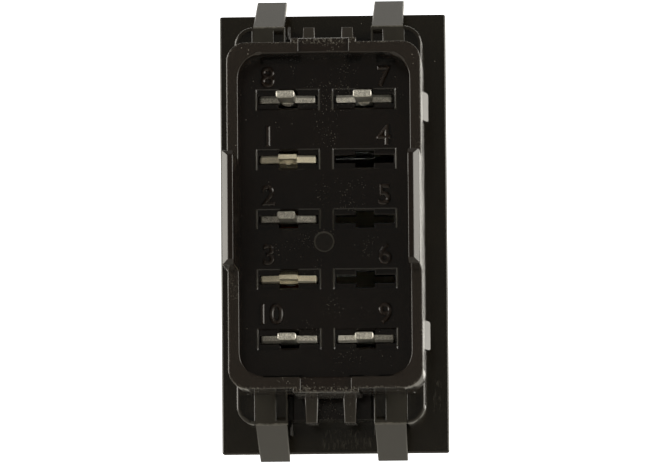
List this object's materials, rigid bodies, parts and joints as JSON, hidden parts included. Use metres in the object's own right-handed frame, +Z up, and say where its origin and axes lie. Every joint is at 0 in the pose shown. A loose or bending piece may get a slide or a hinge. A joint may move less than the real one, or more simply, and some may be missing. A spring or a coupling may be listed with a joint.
{
  "type": "rocker switch",
  "caption": "Black panel-mount rocker switch with a rectangular bezel, snap wings, a collared terminal base with two ears, blade terminals and a tilting rocker.",
  "frame": {"origin": "middle of the bezel's rear face, where it seats on the panel", "axes": "+Z up along the bezel's length, +Y backwards through the panel towards the terminals, +X across"},
  "size_m": [0.026, 0.0443, 0.0526],
  "materials": {
    "black_nylon": "satin, moulded",
    "black_polyester": "satin, moulded",
    "black_polycarbonate": "fine satin, moulded",
    "natural_nylon": "moulded",
    "clear_polycarbonate": "milky, moulded",
    "spring_steel": "drawn wire",
    "copper": "stamped",
    "silver": "headed",
    "epoxy": "cast, clear",
    "tinned_steel": "tinned",
    "tinned_brass": "stamped and tin plated",
    "brass": "stamped"
  },
  "bodies": {
    "switch_body": {"bracket": "black_nylon", "base_housing": "black_polyester", "fixed_contact_1": "silver", "fixed_contact_3": "silver", "upper_lamp": "epoxy", "lower_lamp": "epoxy", "lamp_lead_7": "tinned_steel", "lamp_lead_8": "tinned_steel", "lamp_lead_9": "tinned_steel", "lamp_lead_10": "tinned_steel", "terminal_8": "tinned_brass", "terminal_7": "tinned_brass", "terminal_10": "tinned_brass", "terminal_9": "tinned_brass", "terminal_2": "tinned_brass", "terminal_1": "brass", "terminal_3": "brass"},
    "rocker": {"rocker_cover": "black_polycarbonate", "pivot_lever": "natural_nylon", "upper_lens": "clear_polycarbonate", "lower_lens": "clear_polycarbonate", "plunger_spring": "spring_steel"},
    "plunger": {"plunger": "natural_nylon"},
    "moving_contact": {"teeter": "copper", "moving_contact_1": "silver", "moving_contact_3": "silver"}
  },
  "joints": [
    {"name": "rocker_tilt", "type": "hinge", "parent": "switch_body", "child": "rocker", "pos_m": [0, 0.0025, 0], "axis": [1, 0, 0], "range_deg": [-12, 12]},
    {"name": "plunger_slide", "type": "slide", "parent": "rocker", "child": "plunger", "axis": [0, -1, 0], "range_m": [0, 0.0008], "stiffness_N_per_m": 300, "deforming": ["plunger_spring"]},
    {"name": "contact_tilt", "type": "hinge", "parent": "switch_body", "child": "moving_contact", "pos_m": [0.00424, 0.0158, 0], "axis": [1, 0, 0], "range_deg": [-7.25, 7.25]}
  ],
  "couplings": [
    {"joint": "contact_tilt", "follows": "rocker_tilt", "ratio": -0.6}
  ]
}
